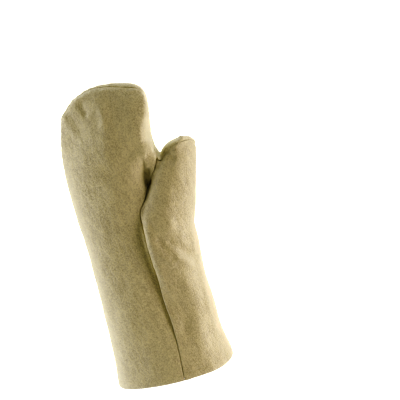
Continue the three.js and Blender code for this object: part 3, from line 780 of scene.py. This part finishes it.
def mesh_object(name, points, faces, attributes=()):
    mesh = bpy.data.meshes.new(name)
    mesh.vertices.add(len(points))
    mesh.vertices.foreach_set("co", (points * MM).astype(np.float32).ravel())
    mesh.loops.add(faces.size)
    mesh.loops.foreach_set("vertex_index", faces.astype(np.int32).ravel())
    mesh.polygons.add(len(faces))
    mesh.polygons.foreach_set("loop_start", (np.arange(len(faces)) * faces.shape[1]).astype(np.int32))
    mesh.polygons.foreach_set("use_smooth", np.ones(len(faces), bool))
    mesh.update(calc_edges=True)
    for label, values in attributes:
        layer = mesh.attributes.new(label, "FLOAT", "POINT")
        layer.data.foreach_set("value", values.astype(np.float32))
    mesh.validate()
    made = bpy.data.objects.new(name, mesh)
    scene.collection.objects.link(made)
    return made


# ---- materials -------------------------------------------------------------------------------------


def linear(r, g, b):
    return tuple((c / 255 / 12.92) if c <= 10 else ((c / 255 + 0.055) / 1.055) ** 2.4 for c in (r, g, b))


class Nodes:
    """Short words for building a node tree."""

    def __init__(self, tree):
        self.tree = tree
        tree.nodes.clear()

    def add(self, kind, inputs=(), **props):
        node = self.tree.nodes.new(kind)
        for key, value in props.items():
            setattr(node, key, value)
        for key, value in dict(inputs).items():
            if isinstance(value, bpy.types.NodeSocket):
                self.tree.links.new(value, node.inputs[key])
            else:
                node.inputs[key].default_value = value
        return node

    def math(self, op, a, b=0.0, c=0.0):
        return self.add("ShaderNodeMath", {0: a, 1: b, 2: c}, operation=op).outputs[0]

    def attribute(self, name):
        return self.add("ShaderNodeAttribute", attribute_name=name).outputs["Fac"]

    def ramp(self, value, stops):
        node = self.add("ShaderNodeValToRGB", {"Fac": value})
        ramp = node.color_ramp
        while len(ramp.elements) > 1:
            ramp.elements.remove(ramp.elements[-1])
        ramp.elements[0].position, ramp.elements[0].color = stops[0][0], (*stops[0][1], 1)
        for at, colour in stops[1:]:
            ramp.elements.new(at).color = (*colour, 1)
        return node.outputs["Color"]

    def mix(self, fac, a, b, blend="MIX"):
        node = self.add("ShaderNodeMix", data_type="RGBA", blend_type=blend)
        for key, value in ((0, fac), (6, a), (7, b)):
            if isinstance(value, bpy.types.NodeSocket):
                self.tree.links.new(value, node.inputs[key])
            else:
                node.inputs[key].default_value = value if key == 0 else (*value, 1)
        return node.outputs[2]


def cloth_material(name, base):
    """Heavy brushed twill: fine diagonal ribs under a short nap, mottled and lightly streaked."""
    made = bpy.data.materials.new(name)
    made.use_nodes = True
    n = Nodes(made.node_tree)
    side_on, end_on, inside, near_seam = (n.attribute(a) for a in ("side_on", "end_on", "inside", "near_seam"))
    solid = n.add("ShaderNodeTexCoord").outputs["Object"]
    metres = n.add("ShaderNodeSeparateXYZ", {0: solid})
    x, y, z = (n.math("MULTIPLY", metres.outputs[i], 1000.0) for i in range(3))

    def noise(vector, scale, detail=2.0, rough=0.5, squash=(1, 1, 1)):
        spot = n.add("ShaderNodeMapping", {"Vector": vector, "Scale": squash}).outputs[0]
        return n.add("ShaderNodeTexNoise", {"Vector": spot, "Scale": scale, "Detail": detail, "Roughness": rough}).outputs["Fac"]

    def weighed(a, ka, b, kb):
        return n.math("ADD", n.math("MULTIPLY", a, ka), n.math("MULTIPLY", b, kb))

    # millimetres across and along the ribs, in each plane that the cloth can face
    across, along = weighed(x, 0.959, y, 0.284), weighed(x, 0.284, y, -0.959)
    nap = n.add("ShaderNodeCombineXYZ", {0: across, 1: along, 2: z}).outputs[0]
    wobble = n.math("MULTIPLY", n.math("SUBTRACT", noise(nap, 0.22, 2.0), 0.5), 1.6)

    def ribs(u, v):
        wave = n.math("SINE", n.math("MULTIPLY", n.math("ADD", u, wobble), 2 * math.pi / 1.45))
        thread = n.math("SINE", n.math("MULTIPLY", v, 2 * math.pi / 1.1))
        return weighed(wave, 1.0, thread, 0.35)

    up_on = n.math("SUBTRACT", n.math("SUBTRACT", 1.0, side_on), end_on)
    rib = n.math("MULTIPLY", ribs(across, along), up_on)
    for u, v, share in ((weighed(z, 0.959, y, 0.284), weighed(z, 0.284, y, -0.959), side_on),
                        (weighed(x, 0.959, z, 0.284), weighed(x, 0.284, z, -0.959), end_on)):
        rib = n.math("ADD", rib, n.math("MULTIPLY", ribs(u, v), share))
    rib = n.math("MULTIPLY", rib, n.math("ADD", n.math("MULTIPLY", noise(nap, 0.55, 3.0, 0.6), 0.9), 0.15))
    fluff = noise(nap, 1.15, 4.0, 0.65, (1.0, 0.7, 1.0))
    speck = noise(nap, 0.74, 2.0, 0.6, (1.0, 0.6, 1.0))
    streak = noise(nap, 0.19, 2.0, 0.55, (1.0, 0.3, 1.0))
    patches = noise(solid, 38.0, 3.0, 0.6)
    broad = noise(solid, 11.0, 2.0, 0.5)

    dark = tuple(c * k for c, k in zip(base, (0.66, 0.61, 0.36)))
    light = tuple(min(1, c * k) for c, k in zip(base, (1.28, 1.3, 1.6)))
    tone = n.math("MULTIPLY", rib, 0.12)
    worn = weighed(up_on, 1.2, 0.35, 1.0)      # the nap is rougher on the broad faces than at the sides
    for part, share in ((speck, 1.5), (fluff, 1.2), (streak, 0.6), (patches, 0.3), (broad, 0.25)):
        tone = n.math("ADD", tone, n.math("MULTIPLY", n.math("SUBTRACT", part, 0.5), share))
    tone = n.math("MULTIPLY", tone, worn)
    colour = n.ramp(n.math("ADD", tone, 0.5), [(0.0, dark), (0.5, base), (1.0, light)])
    # painted highlight: the turned edges along the seams are painted lighter
    colour = n.mix(n.math("MULTIPLY", near_seam, 0.16), colour, light)
    # painted shade: the inside of the mitten and the rows down in the seam gaps are painted darker
    colour = n.mix(n.math("MULTIPLY", inside, 0.35), colour, dark)

    height = n.math("MULTIPLY", rib, 0.08)
    for part, share in ((speck, 0.9), (fluff, 0.5), (streak, 0.8)):
        height = n.math("ADD", height, n.math("MULTIPLY", part, share))
    bump = n.add("ShaderNodeBump", {"Height": height, "Strength": 0.75, "Distance": 0.001}).outputs["Normal"]
    rough = n.math("ADD", 0.59, n.math("MULTIPLY", fluff, 0.12))
    shader = n.add("ShaderNodeBsdfPrincipled", {
        "Base Color": colour, "Roughness": rough, "Normal": bump, "IOR": 1.7, "Specular IOR Level": 1.0,
        "Sheen Weight": 0.6, "Sheen Roughness": 0.8, "Sheen Tint": (1.0, 1.0, 1.0, 1.0),
    })
    out = n.add("ShaderNodeOutputMaterial")
    made.node_tree.links.new(shader.outputs[0], out.inputs["Surface"])
    made.diffuse_color = (*base, 1)
    return made


BASE = (0.58, 0.495, 0.14)
PALM = cloth_material("palm_twill", BASE)
THUMB_CLOTH = cloth_material("thumb_twill", tuple(c * k for c, k in zip(BASE, (0.98, 0.97, 0.94))))
BACK = cloth_material("back_twill", BASE)
FINISH = {
    "palm_panel": ("palm_cloth", PALM), "thumb_panel": ("thumb_cloth", THUMB_CLOTH), "back_panel": ("back_cloth", BACK),
}

panels = {}
for name, tests in PIECES.items():
    a, tt = cut_piece(tests)
    points, faces, extra, layer = close_piece(name, a, tt)
    facing = np.abs(normals_of(points, faces)) ** 4
    facing /= np.maximum(facing.sum(1), 1e-9)[:, None]
    # near_seam marks the seam lips that take the painted highlight
    seam = np.exp(-(np.abs(extra[:, col["edge"]]) / 3.2) ** 2) + np.exp(-(np.abs(extra[:, col["long"]]) / 3.2) ** 2)
    # the inside layer carries the painted shade of the mitten's inside and its seam gaps
    made = mesh_object(name + "_cloth", points, faces, [
        ("side_on", facing[:, 0]), ("end_on", facing[:, 1]),
        ("inside", layer), ("near_seam", np.clip(seam, 0, 1) * (1 - layer)),
    ])
    slot, twill = FINISH[name]
    made.data.materials.append(twill)
    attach(made, "root")
    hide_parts(name)
    panels[name] = made


def stitches():
    """The hem's stitches, sunk by half into the cloth."""
    a, tt = clip(data, t, rim - STITCH_LINE)
    ring = max(border_rings(tt), key=len)
    at = even(a[ring], 4, 0.5)
    at = np.vstack([at, at[:1]])
    gone = np.concatenate([[0], np.cumsum(np.linalg.norm(np.diff(at[:, :3], axis=0), axis=1))])
    count = int(gone[-1] / 3.5)
    points, faces = [], []
    steps, sides = np.linspace(-1, 1, 7), np.arange(6) * (2 * math.pi / 6)
    for i in range(count):
        middle = (i + 0.5) * gone[-1] / count
        here = np.array([np.interp(middle, gone, at[:, k]) for k in range(at.shape[1])])
        if min(abs(here[col["edge"]]), abs(here[col["long"]]) if here[2] > 40 else 9) < 2.4:
            continue      # the lips of a seam
        run = [np.array([np.interp(middle + d, gone, at[:, k]) for k in range(3)]) for d in (-1.3, 1.3)]
        run = (run[1] - run[0]) / np.linalg.norm(run[1] - run[0])
        up = here[3:6] - run * (here[3:6] @ run)
        up /= np.linalg.norm(up)
        out = np.cross(run, up)
        base = sum(len(p) for p in points)
        for w in steps:
            r = 0.36 * math.sqrt(max(1 - w ** 4, 0.02))
            middle_here = here[:3] + run * w * 1.3 + up * (0.2 - 0.35 * w * w)
            points.append(np.array([middle_here + r * (math.cos(q) * out + math.sin(q) * up) for q in sides]))
        for k in range(len(steps) - 1):
            for q in range(6):
                p0, p1 = base + k * 6 + q, base + k * 6 + (q + 1) % 6
                faces += [[p0, p0 + 6, p1], [p1, p0 + 6, p1 + 6]]
        last = base + (len(steps) - 1) * 6
        for q in range(1, 5):
            faces += [[base, base + q, base + q + 1], [last, last + q + 1, last + q]]
    return np.vstack(points), np.array(faces)


points, faces = stitches()
count = len(points)
# near_seam at one gives the stitches the seam's painted highlight
thread = mesh_object("hem_stitches", points, faces, [
    ("side_on", np.zeros(count)), ("end_on", np.ones(count)), ("inside", np.zeros(count)), ("near_seam", np.ones(count)),
])
thread.data.materials.append(BACK)
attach(thread, "root")


# ---- floor and light ----------------------------------------------------------------------------------


def make_floor():
    mesh = bpy.data.meshes.new("floor")
    r = 6.0
    mesh.from_pydata([(-r, -r, -0.0004), (r, -r, -0.0004), (r, r, -0.0004), (-r, r, -0.0004)], [], [(0, 1, 2, 3)])
    floor = bpy.data.objects.new("floor", mesh)
    scene.collection.objects.link(floor)
    made = bpy.data.materials.new("floor_white")
    made.use_nodes = True
    shader = made.node_tree.nodes["Principled BSDF"]
    shader.inputs["Base Color"].default_value = (0.88, 0.88, 0.87, 1)
    shader.inputs["Roughness"].default_value = 0.9
    shader.inputs["Specular IOR Level"].default_value = 0.1
    shader.inputs["Emission Color"].default_value = (0.965, 1, 0.93, 1)
    shader.inputs["Emission Strength"].default_value = 1.4
    floor.data.materials.append(made)


def area_light(name, at, towards, size, power, colour=(1, 1, 1)):
    data = bpy.data.lights.new(name, "AREA")
    data.shape, data.size, data.size_y = "RECTANGLE", size[0], size[1]
    data.energy, data.color = power, colour
    lamp = bpy.data.objects.new(name, data)
    scene.collection.objects.link(lamp)
    lamp.location = at
    lamp.rotation_mode = "QUATERNION"
    lamp.rotation_quaternion = (Vector(towards) - Vector(at)).to_track_quat("-Z", "Y")


def make_light():
    world = bpy.data.worlds.new("studio")
    scene.world = world
    world.use_nodes = True
    world.node_tree.nodes["Background"].inputs["Color"].default_value = (1.0, 1.0, 1.0, 1)
    world.node_tree.nodes["Background"].inputs["Strength"].default_value = 0.014
    middle = (0, -0.03, 0.03)
    area_light("left_low", (-1.15, 0.12, 0.26), middle, (1.8, 0.46), 12.1, (1.03, 1.0, 1.04))
    area_light("right_low", (1.25, 0.15, 0.28), middle, (2.2, 0.5), 1.7)
    area_light("right_mid", (1.08, -0.24, 0.48), middle, (1.4, 0.6), 10.6, (1.13, 1.0, 1.0))
    area_light("cuff_high", (0.0, -0.9, 0.95), middle, (1.2, 0.8), 4.6, (1.03, 1.0, 1.0))
    area_light("tip_low", (0.0, 1.25, 0.25), middle, (1.6, 0.4), 1.6)


def tone_curve(pivot=0.61, below=1.5, above=0.8, width=0.18):
    """A photographic curve: steeper in the darks and softer in the lights, about a pivot, with more contrast in blue."""
    def encode(v):
        return 12.92 * v if v <= 0.0031308 else 1.055 * v ** (1 / 2.4) - 0.055

    def decode(v):
        return v / 12.92 if v <= 0.04045 else ((v + 0.055) / 1.055) ** 2.4

    view = scene.view_settings
    view.use_curve_mapping = True
    line = view.curve_mapping.curves[3]
    for at in (0.004, 0.012, 0.03, 0.06, 0.1, 0.16, 0.24, 0.34, 0.46, 0.6, 0.75, 0.88):
        t = math.log(encode(at) ** 1.25 / pivot)
        soft = width * (math.log1p(math.exp(t / width)) - math.log(2))
        line.points.new(at, decode(pivot * math.exp(below * t + (above - below) * soft)))
    blue = view.curve_mapping.curves[2]
    for at, to in ((0.1, 0.07), (0.18, 0.142), (0.25, 0.214), (0.31, 0.276), (0.37, 0.346), (0.45, 0.45),
                   (0.55, 0.572), (0.65, 0.684), (0.75, 0.78), (0.85, 0.868)):
        blue.points.new(decode(at), decode(to))
    view.curve_mapping.update()


make_floor()
make_light()

scene.view_settings.view_transform = "Standard"
scene.view_settings.look = "None"
scene.view_settings.exposure = 0.0
scene.view_settings.gamma = 1.0
tone_curve()
